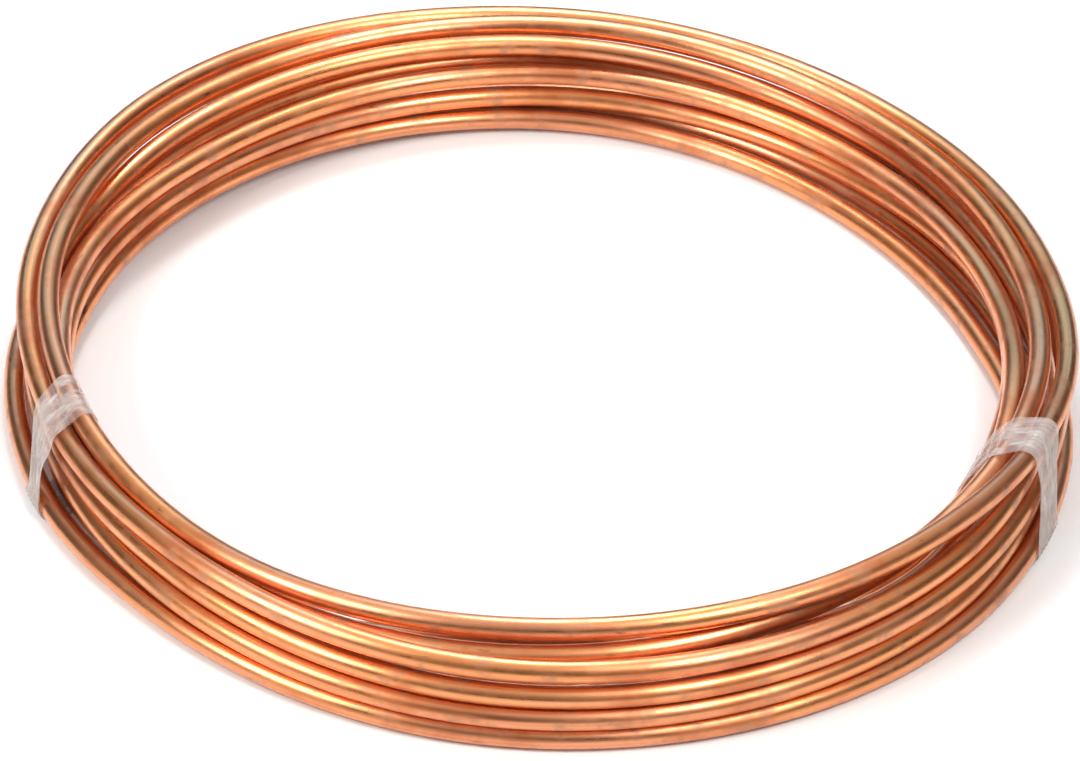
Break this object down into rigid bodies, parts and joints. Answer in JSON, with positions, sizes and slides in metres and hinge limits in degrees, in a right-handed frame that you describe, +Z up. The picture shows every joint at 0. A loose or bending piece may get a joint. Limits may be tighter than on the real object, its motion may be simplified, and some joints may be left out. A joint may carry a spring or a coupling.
{
  "type": "copper tube coil",
  "caption": "Soft copper tube wound into a loose round coil, held by wraps of clear film tape, with square-cut open ends.",
  "frame": {"origin": "on the floor, under the middle of the coil's box", "axes": "+Z up along the coil's axis, out of its flat side; the ties are near -X and +X; the side that the picture shows nearest is -Y"},
  "size_m": [0.3901, 0.3919, 0.0452],
  "materials": {
    "copper": null,
    "film": "clear crumpled film tape"
  },
  "bodies": {
    "root": {"copper_tube": "copper", "tie_left": "film", "tie_right": "film"}
  },
  "joints": []
}
